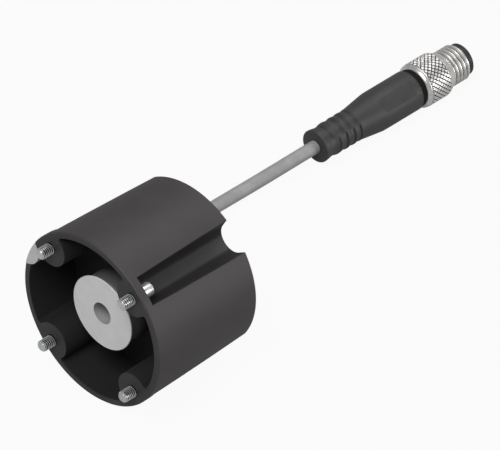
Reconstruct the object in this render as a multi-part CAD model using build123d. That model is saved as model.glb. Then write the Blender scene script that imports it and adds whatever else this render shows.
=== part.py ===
from build123d import *
import math
import os

# Rotary position sensor in a round housing, with a short lead and a round plug.
# The housing's axis is Y. The front mounting face lies at y = 0 and the rear at +Y. Z is up.

# Housing
housing_length = 27.4
front_radius = 18.85
side_taper = 0.85
side_bulge = 0.075
rim_wall = 1.4
rim_chamfer = 0.25
rear_edge_radius = 0.5
cavity_depth = 12.0
cavity_draft = 0.15
partition_thickness = 1.6
chamber_wall = 2.1
cover_recess_wall = 1.0

# Mounting screws and the open grooves that lead to them
screw_edge = 2.85
screw_count = 4
screw_radius = 1.22
screw_reach = 2.95
screw_shank_radius = 1.0
screw_thread_runout = 0.05
screw_head_radius = 1.48
screw_head_height = 3.0
screw_socket = 1.5
screw_socket_depth = 1.4
screw_hole_clearance = 0.08
flange_thickness = 1.85
groove_radius = 3.0
groove_front_half_width = 3.15
groove_rear_radius = 3.15
groove_rear_half_width = 3.95
groove_wall = 0.8
lobe_fillet = 0.7

# Centre boss and bearing
boss_radius = 7.4
boss_draft = 0.1
boss_chamfer = 0.3
bearing_pocket_wall = 1.3
pocket_floor = 1.0
bush_wall = 1.0
bush_flange_radius = 6.0
bush_flange_thickness = 1.0
bush_tail = 4.0
bush_fit_gap = 0.02

# Rotor
hub_face = 2.9
hub_radius = 8.05
hub_thickness = 0.3
hub_chamfer = 0.1
bore_radius = 2.335
shaft_web = 1.6
journal_radius = 4.0
running_gap = 0.03
axial_gap = 0.05
washer_radius = 5.8
washer_thickness = 0.5
ring_thickness = 0.6
ring_height = 0.8
ring_groove_depth = 0.3
ring_opening = 3.0
magnet_radius = 3.0
magnet_thickness = 2.5
magnet_gap = 0.02
magnet_chamfer = 0.15
end_gap = 0.3

# Light locating insert in the rim
insert_radius = 3.7
insert_angle = 157.0
insert_overhang = 1.15
insert_depth = 3.0
insert_gap = 0.02
insert_skin = 0.1

# Electronics
chip_gap = 0.6
hall_chip_size = (5.0, 4.0)
hall_chip_thickness = 1.3
board_thickness = 1.2
board_room = 3.8
board_gap = 0.3
processor_size = (6.0, 6.0)
processor_place = (4.5, 3.0)
processor_thickness = 1.0
capacitor_size = (2.0, 1.2)
capacitor_thickness = 0.9
capacitor_pitch = 2.4
capacitor_count = 4
capacitor_row = (-3.6, 9.6)
header_side = 5.4
header_height = 2.4
core_radius = 0.45
core_pitch = 1.15

# Rear cover, its gasket and its screws
cover_thickness = 2.0
cover_gap = 0.12
gasket_thickness = 0.6
gasket_gap = 0.08
cover_screw_edge = 4.5
cover_screw_radius = 0.8
cover_screw_length = 6.0
cover_head_radius = 1.7
cover_head_height = 1.0
cover_post_radius = 1.75
board_post_radius = 2.5
cover_edge_chamfer = 0.3

# Lead
lead_radius = 1.425
lead_exit = (0.0, -9.5)
lead_straight = 10.0
gland_gap = 0.02
gland_hole_radius = 3.0
gland_flange_radius = 4.0
gland_flange_thickness = 1.0
gland_inner_flange = 0.6
gland_nose_length = 4.4
gland_nose_tip_radius = 2.1
gland_groove_depth = 0.45
gland_groove_count = 2

# Coiled stretch of the lead, lying flat beside the housing
floor = -front_radius
hank_x = -23.5
hank_near = 24.5
hank_far = 39.5
hank_turn_radius = 8.55
hank_turns_wide = 2
tie_width = 2.4
tie_thickness = 0.5
tie_gap = 0.1
tie_recess = 0.6
tie_place = 0.35
tie_head = (3.2, 2.6, 2.0)

# Plug
plug_start = 83.2
plug_axis_x = -21.96
boot_end_radius = 3.56
boot_end_chamfer = 0.25
boot_crests = (4.05, 6.45, 8.45, 10.35)
boot_valleys = (2.55, 5.5, 7.45, 9.45)
boot_valley_depths = (0.28, 0.18, 0.15, 0.12)
boot_taper_start = 10.85
boot_body_start = 16.25
boot_body_radius = 4.335
boot_edge_chamfer = 0.15
boot_length = 26.8
boot_socket_depth = 1.6
grip_flat_start = 15.95
grip_flat_end = 25.55
grip_flat_half_width = 2.3
grip_flat_depth = 0.3
shoulder_length = 1.2
shoulder_radius = 4.1
nut_rear_radius = 4.17
nut_round_radius = 4.65
nut_round_place = 0.45
nut_rear_length = 1.05
nut_knurl_radius = 4.87
nut_knurl_length = 5.25
nut_knurl_depth = 0.3
nut_knurl_count = 16
nut_knurl_rows = 3
nut_slope_length = 1.8
nut_thread_radius = 4.0
nut_thread_length = 4.7
nut_thread_chamfer = 0.5
nut_bore_gap = 0.05
carrier_radius = 3.25
tip_radius = 3.5
tip_length = 1.2
tip_chamfer = 0.2
carrier_recess = 6.5
carrier_wall = 0.75
pin_radius = 0.5
pin_circle = 3.2
pin_count = 4
pin_tip_setback = 1.2
pin_root = 2.0

# Sizes that follow from the ones above
rear_radius = front_radius - side_taper
screw_circle = 2 * (front_radius - screw_edge)
insert_circle = front_radius + insert_overhang
rim_radius = front_radius - rim_wall
cavity_floor_radius = rim_radius - cavity_draft
bulge_radius = groove_rear_radius + groove_wall
partition_back = cavity_depth + partition_thickness
hub_back = hub_face + hub_thickness
boss_front = hub_back + washer_thickness + 2 * axial_gap
cover_front = housing_length - cover_thickness
seat = cover_front - gasket_thickness
board_back = seat - board_room
board_front = board_back - board_thickness
pocket_back = board_front - hall_chip_thickness - chip_gap
bearing_pocket_end = pocket_back - pocket_floor
shaft_end = bearing_pocket_end - end_gap
bore_end = shaft_end - magnet_thickness - shaft_web
bush_end = shaft_end - bush_tail
bush_radius = journal_radius + running_gap + bush_wall
ring_radius = journal_radius + ring_height
cover_screw_place = rear_radius - cover_screw_edge
chamber_radius = rear_radius - chamber_wall
recess_radius = rear_radius - cover_recess_wall
hank_wide = hank_turns_wide * 2 * lead_radius
hank_inner = hank_turn_radius - lead_radius
hank_outer = hank_inner + hank_wide
hank_outer_turn = hank_outer - lead_radius
lead_on_floor = floor + lead_radius
plug_axis_z = floor + nut_knurl_radius
nut_start = boot_length + shoulder_length
nut_knurl_start = nut_start + nut_rear_length
nut_knurl_end = nut_knurl_start + nut_knurl_length
nut_thread_start = nut_knurl_end + nut_slope_length
nut_end = nut_thread_start + nut_thread_length
plug_length = nut_end + tip_length


def turned(points, x=0.0, z=0.0):
    """A solid turned about an axis parallel to Y, from (radius, y) points."""
    profile = make_face(Polyline(*points, close=True))
    return Pos(x, 0, z) * revolve(profile, Axis.Y, 360)


def slab(outline, start, end):
    """A flat outline in X and Z made solid from one y to another."""
    return extrude(Plane.XZ.offset(-start) * outline, amount=start - end)


def rod(radius, start, end, x=0.0, z=0.0):
    """A round rod parallel to Y."""
    return slab(Pos(x, z) * Circle(radius), start, end)


def screw_places():
    """The (x, z) centres of the mounting screws."""
    reach = screw_circle / 2
    turn = 2 * math.pi / screw_count
    angles = [turn * (i + 0.5) for i in range(screw_count)]
    return [(reach * math.cos(a), reach * math.sin(a)) for a in angles]


def screw_directions():
    """The angles of the mounting screws about the housing's axis, in degrees."""
    return [360 / screw_count * (i + 0.5) for i in range(screw_count)]


def round_less_bulges(radius, bulge):
    """A disc outline with a round bite taken out at each mounting screw."""
    outline = Circle(radius)
    for x, z in screw_places():
        outline -= Pos(x, z) * Circle(bulge)
    return outline


def groove_outline(radius, half_width, mouth):
    """One open groove at the angle 0: a round bottom whose sides flare out past the housing's side."""
    centre = screw_circle / 2
    lean = math.atan2(half_width - radius, front_radius - centre)
    low = (centre - radius * math.sin(lean), radius * math.cos(lean))
    out = half_width + (mouth - front_radius) * math.tan(lean)
    edges = [
        Line((mouth, -out), (low[0], -low[1])),
        ThreePointArc((low[0], -low[1]), (centre - radius, 0), low),
        Line(low, (mouth, out)),
        Line((mouth, out), (mouth, -out)),
    ]
    return make_face(Curve() + edges)


def groove_cutter(angle):
    """The tool for one groove, which widens from the flange to the rear end."""
    mouth = front_radius + 2
    overrun = housing_length + 1
    front = Rot(0, 0, angle) * groove_outline(groove_radius, groove_front_half_width, mouth)
    rear = Rot(0, 0, angle) * groove_outline(groove_rear_radius, groove_rear_half_width, mouth)
    return loft([Plane.XZ.offset(-flange_thickness) * front, Plane.XZ.offset(-overrun) * rear])


def outer_skin():
    """The housing's full outer form, slightly bulged and narrower at the rear."""
    middle = (front_radius + rear_radius) / 2 + side_bulge
    edges = [
        Line((0, 0), (front_radius, 0)),
        ThreePointArc((front_radius, 0), (middle, housing_length / 2), (rear_radius, housing_length)),
        Line((rear_radius, housing_length), (0, housing_length)),
        Line((0, housing_length), (0, 0)),
    ]
    skin = revolve(make_face(Curve() + edges), Axis.Y, 360)
    rims = skin.edges().filter_by(GeomType.CIRCLE).sort_by(Axis.Y)
    skin = chamfer(rims[0], rim_chamfer)
    rims = skin.edges().filter_by(GeomType.CIRCLE).sort_by(Axis.Y)
    return fillet(rims[-1], rear_edge_radius)


def cavity_outline(radius, bulge):
    """The front cavity's outer outline, with softened corners where the screw lobes meet the rim."""
    outline = round_less_bulges(radius, bulge)
    corners = [v for v in outline.vertices() if Vector(v.X, v.Y, v.Z).length > radius - 0.05]
    return fillet(corners, lobe_fillet)


def front_cavity():
    """The open space round the centre boss, drawn in a little towards its floor."""
    front = cavity_outline(rim_radius, bulge_radius)
    floor_outline = cavity_outline(cavity_floor_radius, bulge_radius + cavity_draft)
    hollow = loft([Plane.XZ * front, Plane.XZ.offset(-cavity_depth) * floor_outline])
    hollow += slab(front, -1, 0)
    return hollow - turned([
        (0, boss_front),
        (boss_radius - boss_chamfer, boss_front),
        (boss_radius, boss_front + boss_chamfer),
        (boss_radius + boss_draft, cavity_depth + 1),
        (0, cavity_depth + 1),
    ])


def housing():
    """The moulded housing: flange, side wall, grooves, partition, centre boss and cover seat."""
    body = outer_skin()
    body -= front_cavity()
    body -= slab(round_less_bulges(chamber_radius, bulge_radius + cover_recess_wall), partition_back, seat)
    body -= slab(round_less_bulges(recess_radius, bulge_radius), seat, housing_length + 1)
    body += rod(bush_radius + bush_fit_gap + bearing_pocket_wall, partition_back, pocket_back)
    for side in (-1, 1):
        post = rod(board_post_radius, partition_back, board_front, side * cover_screw_place)
        post += rod(cover_post_radius, board_front, seat, side * cover_screw_place)
        body += post & rod(chamber_radius + 0.5, 0, housing_length)
        screw_start = cover_front + cover_head_height - cover_screw_length
        body -= rod(cover_screw_radius + 0.02, screw_start - 0.5, seat + 1, side * cover_screw_place)
    body -= rod(bush_radius + bush_fit_gap, boss_front - 1, bearing_pocket_end)
    body -= rod(bush_flange_radius + bush_fit_gap, boss_front - 1, boss_front + bush_flange_thickness)
    for angle in screw_directions():
        body -= groove_cutter(angle)
    for x, z in screw_places():
        body -= rod(screw_radius + screw_hole_clearance, -1, flange_thickness + 1, x, z)
    body -= slab(insert_outline(insert_gap), -1, insert_depth + insert_gap)
    return body


def insert_outline(margin=0.0):
    """The locating insert's face: a round cut by the housing's side."""
    angle = math.radians(insert_angle)
    centre = (insert_circle * math.cos(angle), insert_circle * math.sin(angle))
    outline = Pos(*centre) * Circle(insert_radius + margin)
    if margin:
        return outline
    return outline & Circle(front_radius - insert_skin)


def mounting_screw(x, z):
    """A captive cheese-head screw with a hexagon socket and a waisted shank, its tip out of the front face."""
    head_end = flange_thickness + screw_head_height
    tip = 0.3
    body = turned([
        (0, -screw_reach),
        (screw_radius - tip, -screw_reach),
        (screw_radius, -screw_reach + tip),
        (screw_radius, screw_thread_runout),
        (screw_shank_radius, screw_thread_runout),
        (screw_shank_radius, flange_thickness),
        (screw_head_radius, flange_thickness),
        (screw_head_radius, head_end - 0.15),
        (screw_head_radius - 0.15, head_end),
        (0, head_end),
    ])
    socket = RegularPolygon(screw_socket / 2, 6, major_radius=False)
    body -= slab(socket, head_end - screw_socket_depth, head_end + 1)
    return Pos(x, 0, z) * body


def hub():
    """The rotor: a flat disc on a journal, with the shaft bore in front and the magnet's seat behind."""
    groove_start = bush_end + axial_gap * 2
    body = turned([
        (bore_radius, hub_face),
        (hub_radius - hub_chamfer, hub_face),
        (hub_radius, hub_face + hub_chamfer),
        (hub_radius, hub_back),
        (journal_radius, hub_back),
        (journal_radius, groove_start),
        (journal_radius - ring_groove_depth, groove_start),
        (journal_radius - ring_groove_depth, groove_start + ring_thickness),
        (journal_radius, groove_start + ring_thickness),
        (journal_radius, shaft_end),
        (magnet_radius + magnet_gap, shaft_end),
        (magnet_radius + magnet_gap, shaft_end - magnet_thickness),
        (0, shaft_end - magnet_thickness),
        (0, bore_end),
        (bore_radius, bore_end),
    ])
    return body


def magnet():
    """The disc magnet in the rotor's end."""
    start = shaft_end - magnet_thickness
    return turned([
        (0, start),
        (magnet_radius, start),
        (magnet_radius, shaft_end - magnet_chamfer),
        (magnet_radius - magnet_chamfer, shaft_end),
        (0, shaft_end),
    ])


def thrust_washer():
    """The flat washer between the hub's disc and the bush."""
    return turned([
        (journal_radius + running_gap, hub_back + axial_gap),
        (washer_radius, hub_back + axial_gap),
        (washer_radius, boss_front - axial_gap),
        (journal_radius + running_gap, boss_front - axial_gap),
    ])


def bush():
    """The flanged bearing bush in the centre boss."""
    return turned([
        (journal_radius + running_gap, boss_front),
        (bush_flange_radius, boss_front),
        (bush_flange_radius, boss_front + bush_flange_thickness),
        (bush_radius, boss_front + bush_flange_thickness),
        (bush_radius, bush_end),
        (journal_radius + running_gap, bush_end),
    ])


def retaining_ring():
    """The open ring that holds the journal in the bush."""
    start = bush_end + axial_gap * 2
    seat_radius = journal_radius - ring_groove_depth + bush_fit_gap
    end = start + ring_thickness
    body = rod(ring_radius, start, end) - rod(seat_radius, start - 1, end + 1)
    mouth = Pos(0, ring_radius) * Rectangle(ring_opening, 2 * ring_radius - seat_radius)
    return body - slab(mouth, start - 1, end + 1)


def circuit_board():
    """The round board, cut away round the four groove walls and the two cover posts."""
    outline = round_less_bulges(chamber_radius - board_gap, bulge_radius + cover_recess_wall + board_gap)
    for side in (-1, 1):
        outline -= Pos(side * cover_screw_place, 0) * Circle(cover_post_radius + board_gap / 2)
        outer = side * (cover_screw_place + cover_post_radius)
        outline -= Pos(outer, 0) * Rectangle(2 * cover_post_radius, 2 * cover_post_radius + board_gap)
    return slab(outline, board_front, board_back)


def box_on(size, thickness, front, x=0.0, z=0.0):
    """A flat component body on the board."""
    return slab(Pos(x, z) * Rectangle(*size), front, front + thickness)


def hall_chip():
    """The magnetic sensor chip on the board's front, in line with the magnet."""
    body = box_on(hall_chip_size, hall_chip_thickness, board_front - hall_chip_thickness)
    return chamfer(body.faces().sort_by(Axis.Y)[0].edges(), 0.2)


def capacitors():
    """A row of small capacitors on the board's rear."""
    x, z = capacitor_row
    row = [
        box_on(capacitor_size, capacitor_thickness, board_back, x + i * capacitor_pitch, z)
        for i in range(capacitor_count)
    ]
    return Compound([part.solid() for part in row])


def wire_header():
    """The block on the board that the lead's cores are soldered into."""
    return box_on((header_side, header_side), header_height, board_back, *lead_exit)


def lead_cores():
    """The four insulated cores between the header and the end of the jacket."""
    cores = []
    for i in (-0.5, 0.5):
        for j in (-0.5, 0.5):
            x = lead_exit[0] + i * core_pitch
            z = lead_exit[1] + j * core_pitch
            cores.append(rod(core_radius, board_back + header_height, housing_length, x, z))
    return Compound([part.solid() for part in cores])


def cover_outline(margin):
    """The rear cover's outline, inside the housing's recess."""
    return round_less_bulges(recess_radius - margin, bulge_radius + margin)


def rear_cover():
    """The rear cover, with the gland's hole and two sunk screw seats."""
    body = slab(cover_outline(cover_gap), cover_front, housing_length)
    rear = body.faces().sort_by(Axis.Y)[-1]
    body = chamfer(rear.outer_wire().edges(), cover_edge_chamfer)
    body -= rod(gland_hole_radius, cover_front - 1, housing_length + 1, *lead_exit)
    for side in (-1, 1):
        x = side * cover_screw_place
        body -= rod(cover_screw_radius + 0.1, cover_front - 1, housing_length + 1, x)
        body -= rod(cover_head_radius + 0.1, cover_front + cover_head_height, housing_length + 1, x)
    return body


def cover_gasket():
    """The flat gasket between the cover and its seat."""
    ring = round_less_bulges(recess_radius - gasket_gap, bulge_radius + gasket_gap)
    ring -= round_less_bulges(chamber_radius, bulge_radius + cover_recess_wall)
    return slab(ring, seat, cover_front)


def cover_screw(side):
    """A small pan-head screw in the rear cover."""
    head = cover_front + cover_head_height
    body = turned([
        (0, head - cover_screw_length),
        (cover_screw_radius, head - cover_screw_length + 0.4),
        (cover_screw_radius, head),
        (cover_head_radius, head),
        (cover_head_radius, head + 0.5),
        (cover_head_radius - 0.4, head + 0.9),
        (0, head + 0.9),
    ], side * cover_screw_place)
    slot = Pos(side * cover_screw_place, 0)
    for turn in (0, 90):
        body -= slab(slot * Rot(0, 0, turn) * Rectangle(1.8, 0.45), head + 0.4, head + 2)
    return body


def gland():
    """The soft cable gland: a neck through the cover, two flanges and a ribbed tapering nose."""
    bore = lead_radius + gland_gap
    nose_start = housing_length + gland_flange_thickness
    nose_end = nose_start + gland_nose_length
    body = turned([
        (bore, cover_front - gland_inner_flange),
        (gland_flange_radius - 0.3, cover_front - gland_inner_flange),
        (gland_flange_radius - 0.3, cover_front),
        (gland_hole_radius, cover_front),
        (gland_hole_radius, housing_length),
        (gland_flange_radius, housing_length),
        (gland_flange_radius, nose_start - 0.3),
        (gland_flange_radius - 0.3, nose_start),
        (gland_hole_radius, nose_start),
        (gland_nose_tip_radius, nose_end),
        (bore, nose_end),
    ])
    step = gland_nose_length / (gland_groove_count + 1)
    for i in range(gland_groove_count):
        y = nose_start + step * (i + 1)
        share = step * (i + 1) / gland_nose_length
        radius = gland_hole_radius + (gland_nose_tip_radius - gland_hole_radius) * share
        body -= turned([
            (radius - gland_groove_depth, y - 0.3),
            (radius + 1, y - 0.3),
            (radius + 1, y + 0.3),
            (radius - gland_groove_depth, y + 0.3),
        ])
    return Pos(lead_exit[0], 0, lead_exit[1]) * body


def lead_tube(points, name):
    """A round lead along straight runs joined by arcs that touch them."""
    runs = [(Vector(*b) - Vector(*a)).length for a, b in zip(points, points[1:])]
    radii = []
    for i in range(1, len(points) - 1):
        before = Vector(*points[i]) - Vector(*points[i - 1])
        after = Vector(*points[i + 1]) - Vector(*points[i])
        half_turn = math.radians(before.get_angle(after)) / 2
        radii.append(0.45 * min(runs[i - 1], runs[i]) / math.tan(half_turn))
    path = FilletPolyline(*points, radius=radii)
    start = Plane(origin=points[0], z_dir=Vector(*points[1]) - Vector(*points[0]))
    tube = sweep(start * Circle(lead_radius), path=path)
    expected = math.pi * lead_radius**2 * path.length
    print(name, "radii", [round(r, 2) for r in radii], "length", round(path.length, 2))
    print(name, "volume over section times length", round(tube.volume / expected, 5))
    return tube


def lead_start_points():
    """From the gland down to the coil, which it joins at the far end."""
    x, z = lead_exit
    turn = math.radians(70)
    join_x = hank_x + hank_outer_turn * math.cos(turn)
    join_y = hank_far + hank_outer_turn * math.sin(turn)
    return [
        (x, housing_length, z),
        (x, housing_length + lead_straight, z),
        (-3.9, 45.2, -13.8),
        (-12.0, 47.6, -17.0),
        (join_x, join_y, lead_on_floor),
    ]


def lead_end_points():
    """From the coil's inner turn over its far end, along the floor and up to the plug."""
    return [
        (-15.15, 27.0, lead_on_floor),
        (-15.55, 31.0, lead_on_floor),
        (-18.1, 38.0, -16.9),
        (-20.9, 45.0, -14.2),
        (-21.85, 53.5, -13.85),
        (-24.6, 61.5, -16.8),
        (-24.05, 70.5, -16.3),
        (plug_axis_x, 78.5, plug_axis_z),
        (plug_axis_x, plug_start + boot_socket_depth - 0.1, plug_axis_z),
    ]


def oval(radius):
    """The coil's outline as seen from above: two straight sides and two half rounds."""
    middle = (hank_near + hank_far) / 2
    straight = hank_far - hank_near
    shape = Pos(hank_x, middle) * Rectangle(2 * radius, straight)
    for y in (hank_near, hank_far):
        shape += Pos(hank_x, y) * Circle(radius)
    return shape


def lead_coil():
    """The coiled stretch as one flat ring, two turns wide and one high."""
    ring = oval(hank_outer) - oval(hank_inner)
    body = extrude(Plane.XY.offset(floor) * ring, amount=2 * lead_radius)
    body = fillet(body.edges().filter_by(Plane.XY), lead_radius * 0.6)
    side, y = tie_centre()
    recess = Box(hank_wide + 2, tie_width + 2 * tie_gap, 2 * tie_recess)
    return body - Pos(side, y, floor) * recess


def tie_centre():
    """The (x, y) centre of the tie, on the coil's left side."""
    x = hank_x - (hank_inner + hank_outer) / 2
    return x, hank_near + (hank_far - hank_near) * tie_place


def coil_tie():
    """The closed tie round the coil's left side, with its small head on top."""
    x, y = tie_centre()
    top = floor + 2 * lead_radius + tie_gap
    width = hank_wide + 2 * tie_gap
    bottom = floor + tie_thickness
    inner = Pos(x, (top + bottom) / 2) * RectangleRounded(width, top - bottom, 0.2)
    outer = Pos(x, (top + bottom) / 2) * RectangleRounded(
        width + 2 * tie_thickness, top - bottom + 2 * tie_thickness, 0.6
    )
    body = slab(outer - inner, y - tie_width / 2, y + tie_width / 2)
    head_base = top + tie_thickness
    return body + Pos(x, y, head_base + tie_head[2] / 2) * Box(*tie_head)


def boot():
    """The plug's moulded grip: a wavy bend relief that tapers up to a round body with two flats."""
    crest = boot_end_radius
    knots = [(crest, boot_end_chamfer)]
    for place, depth, top in zip(boot_valleys, boot_valley_depths, boot_crests):
        knots += [(crest - depth, place), (crest, top)]
    knots += [(crest, boot_taper_start)]
    end = boot_length
    edges = [
        Line((0, 0), (crest - boot_end_chamfer, 0)),
        Line((crest - boot_end_chamfer, 0), knots[0]),
        Spline(*knots),
        Polyline(
            knots[-1],
            (boot_body_radius, boot_body_start),
            (boot_body_radius, end - boot_edge_chamfer),
            (boot_body_radius - boot_edge_chamfer, end),
            (0, end),
            (0, 0),
        ),
    ]
    body = revolve(make_face(Curve() + edges), Axis.Y, 360)
    body -= rod(lead_radius + gland_gap, -1, boot_socket_depth)
    body -= rod(carrier_radius + nut_bore_gap, end - pin_root, end + 1)
    length = grip_flat_end - grip_flat_start
    flat = Box(2 * grip_flat_half_width, length, 2)
    flat = fillet(flat.edges().filter_by(Axis.Z), grip_flat_half_width * 0.6)
    for side in (-1, 1):
        height = side * (boot_body_radius - grip_flat_depth + 1)
        body -= Pos(0, grip_flat_start + length / 2, height) * flat
    return Pos(plug_axis_x, plug_start, plug_axis_z) * Rot(0, 45, 0) * body


def knurled_band():
    """The nut's grip as a solid core whose surface stands out in flat-sided diamonds."""
    around = 2 * nut_knurl_count
    along = 2 * nut_knurl_rows
    low = nut_knurl_radius - nut_knurl_depth
    rings = []
    for row in range(along + 1):
        y = nut_knurl_start + nut_knurl_length * row / along
        ring = []
        for column in range(around):
            raised = 0 < row < along and (row + column) % 2 == 1
            radius = nut_knurl_radius if raised else low
            angle = 2 * math.pi * column / around
            ring.append(Vector(radius * math.cos(angle), y, radius * math.sin(angle)))
        rings.append(ring)
    faces = [Face(Wire.make_polygon(ring)) for ring in (rings[0], rings[-1])]
    for row in range(along):
        for column in range(around):
            beside = (column + 1) % around
            a, b = rings[row][column], rings[row][beside]
            c, d = rings[row + 1][beside], rings[row + 1][column]
            halves = [(a, b, c), (a, c, d)] if (row + column) % 2 == 0 else [(a, b, d), (b, c, d)]
            faces += [Face(Wire.make_polygon(half)) for half in halves]
    return Solid(Shell(faces))


def coupling_nut():
    """The turning sleeve: a rounded rear edge, a knurled grip, a slope and a threaded nose."""
    inner = carrier_radius + nut_bore_gap
    core = nut_knurl_radius - nut_knurl_depth - 0.1
    grip_edge = (nut_knurl_radius, nut_knurl_start)
    round_point = (nut_round_radius, nut_start + nut_round_place)
    edges = [
        Line((inner, nut_start), (nut_rear_radius, nut_start)),
        ThreePointArc((nut_rear_radius, nut_start), round_point, grip_edge),
        Polyline(
            grip_edge,
            (core, nut_knurl_start),
            (core, nut_knurl_end),
            (nut_knurl_radius, nut_knurl_end),
            (nut_thread_radius, nut_thread_start),
            (nut_thread_radius, nut_end - nut_thread_chamfer),
            (nut_thread_radius - nut_thread_chamfer, nut_end),
            (inner, nut_end),
            (inner, nut_start),
        ),
    ]
    body = revolve(make_face(Curve() + edges), Axis.Y, 360) + knurled_band()
    body -= rod(inner, nut_start - 1, nut_end + 1)
    return Pos(plug_axis_x, plug_start, plug_axis_z) * body


def pin_places():
    """The (x, z) places of the contact pins about the plug's axis."""
    angles = [math.radians(45 + 360 / pin_count * i) for i in range(pin_count)]
    return [(pin_circle / 2 * math.cos(a), pin_circle / 2 * math.sin(a)) for a in angles]


def contact_carrier():
    """The insulating carrier inside the sleeve, hollow at the tip round the pins."""
    start = boot_length - pin_root
    end = plug_length
    recess_start = end - carrier_recess
    inner = carrier_radius - carrier_wall
    body = turned([
        (0, start),
        (carrier_radius, start),
        (carrier_radius, boot_length),
        (shoulder_radius, boot_length),
        (shoulder_radius, nut_start - axial_gap),
        (carrier_radius, nut_start - axial_gap),
        (carrier_radius, nut_end + axial_gap),
        (tip_radius, nut_end + axial_gap),
        (tip_radius, end - tip_chamfer),
        (tip_radius - tip_chamfer, end),
        (inner, end),
        (inner, recess_start),
        (0, recess_start),
    ])
    for x, z in pin_places():
        body -= rod(pin_radius, start - 1, end, x, z)
    key = Pos(0, inner) * Rectangle(0.9, 1.0)
    body += slab(key, recess_start, end - pin_tip_setback) & rod(carrier_radius, start, end)
    return Pos(plug_axis_x, plug_start, plug_axis_z) * body


def contact_pin(x, z):
    """One round contact pin with a domed tip."""
    start = boot_length - pin_root
    tip = plug_length - pin_tip_setback
    edges = [
        Line((0, start), (pin_radius, start)),
        Line((pin_radius, start), (pin_radius, tip - pin_radius)),
        RadiusArc((pin_radius, tip - pin_radius), (0, tip), -pin_radius),
        Line((0, tip), (0, start)),
    ]
    body = revolve(make_face(Curve() + edges), Axis.Y, 360)
    return Pos(plug_axis_x + x, plug_start, plug_axis_z + z) * body


def write(name, shape):
    """Write one piece under its name."""
    export_step(shape, f"parts/{name}.step")


os.makedirs("parts", exist_ok=True)
write("housing", housing())
write("locating_insert", slab(insert_outline(), 0, insert_depth))
for number, place in enumerate(screw_places(), 1):
    write(f"mounting_screw_{number}", mounting_screw(*place))
write("rotor_hub", hub())
write("sensor_magnet", magnet())
write("thrust_washer", thrust_washer())
write("bearing_bush", bush())
write("retaining_ring", retaining_ring())
write("circuit_board", circuit_board())
write("hall_chip", hall_chip())
write("processor_chip", box_on(processor_size, processor_thickness, board_back, *processor_place))
write("capacitors", capacitors())
write("wire_header", wire_header())
write("lead_cores", lead_cores())
write("cover_gasket", cover_gasket())
write("rear_cover", rear_cover())
for number, side in enumerate((-1, 1), 1):
    write(f"cover_screw_{number}", cover_screw(side))
write("cable_gland", gland())
write("lead_start", lead_tube(lead_start_points(), "lead_start"))
write("lead_coil", lead_coil())
write("lead_end", lead_tube(lead_end_points(), "lead_end"))
write("coil_tie", coil_tie())
write("plug_boot", boot())
write("contact_carrier", contact_carrier())
for number, place in enumerate(pin_places(), 1):
    write(f"contact_pin_{number}", contact_pin(*place))
write("coupling_nut", coupling_nut())
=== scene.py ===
"""A rotary position sensor in a round grooved housing, with a short lead and a round threaded plug."""

import math

import bpy
from mathutils import Matrix, Vector


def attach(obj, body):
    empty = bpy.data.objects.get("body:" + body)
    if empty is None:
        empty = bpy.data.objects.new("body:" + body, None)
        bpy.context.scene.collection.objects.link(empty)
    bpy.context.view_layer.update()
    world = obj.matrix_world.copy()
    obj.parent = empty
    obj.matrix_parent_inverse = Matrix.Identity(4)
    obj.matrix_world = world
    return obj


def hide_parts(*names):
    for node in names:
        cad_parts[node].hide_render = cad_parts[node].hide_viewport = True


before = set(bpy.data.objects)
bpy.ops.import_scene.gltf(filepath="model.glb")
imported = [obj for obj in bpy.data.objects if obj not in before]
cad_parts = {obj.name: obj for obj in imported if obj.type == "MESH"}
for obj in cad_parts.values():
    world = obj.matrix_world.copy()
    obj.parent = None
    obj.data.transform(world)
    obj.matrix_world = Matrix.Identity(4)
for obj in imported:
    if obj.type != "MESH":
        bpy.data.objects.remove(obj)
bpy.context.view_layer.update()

# Sizes are in mm. Y points into the housing, and Z is up.
MM = 0.001
FLOOR = -18.85
DIAGONAL = math.sqrt(0.5)

# How near two places are taken for one, and how far joined bodies reach into each other
NEAR = 0.01
LAP = 0.02

# Housing: from where to where its finish changes, with painted shade inside the skin, painted light on the
# front of the centre boss, and in the channels a painted highlight down the middle with painted shade at
# the sides
SKIN_EDGE = (17.55, 17.75)
BOSS_EDGE = (7.9, 8.3)
BOSS_FADE = (5.0, 8.5)
FACE_DEPTH = (0.05, 0.3)
FACE_INSIDE = (10.0, 11.0)
FACE_OUTSIDE = (18.3, 18.7)
CHANNEL_EDGE = (3.35, 3.45)
CHANNEL_START = (1.7, 1.9)
CHANNEL_SHADE = (1.0, 3.6)
CHANNEL_DRAFT = 0.03

# Rotor disc
BORE_EDGE = (2.3, 2.42)

# Plug: places along it are counted from the lead's end of the grip
PLUG_X = -21.96
PLUG_Z = -13.98
PLUG_START = 83.2
PLUG_TURN = 45
BOOT_LENGTH = 26.8
BOOT_RADIUS = 4.335
BOOT_END_RADIUS = 3.56
BOOT_ROUND = 0.25
BOOT_VALLEYS = (2.55, 5.5, 7.45, 9.45)
BOOT_CRESTS = (4.05, 6.45, 8.45, 10.35)
BOOT_DEPTHS = (0.28, 0.18, 0.15, 0.12)
# Short slots at the grip's sides, made only of a bump and painted shade
BOOT_SLOTS = (3.9, 5.95, 8.05, 9.8)
SLOT_DEPTH = 0.2
WAVE_STEPS = 5
FLAT_SIZE = (4.6, 9.6, 2.0)
FLAT_MIDDLE = 20.75
FLAT_REACH = 5.035
FLAT_CORNER = 0.9
NUT_BORE = 3.3
NUT_REAR = 28.0
KNURL_START = 29.05
KNURL_END = 34.3
KNURL_RADIUS = 4.87
KNURL_DEPTH = 0.16
KNURL_LOW = KNURL_RADIUS - KNURL_DEPTH
KNURL_BED = KNURL_LOW - 0.15
KNURL_WALL = 0.6
KNURL_GROOVE = 0.13
KNURLS_AROUND = 29
KNURL_ROWS = 5
THREAD_START = 36.1
THREAD_END = 40.8
THREAD_RADIUS = 4.0
THREAD_ROOT = 3.42
THREAD_PITCH = 1.0

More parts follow.
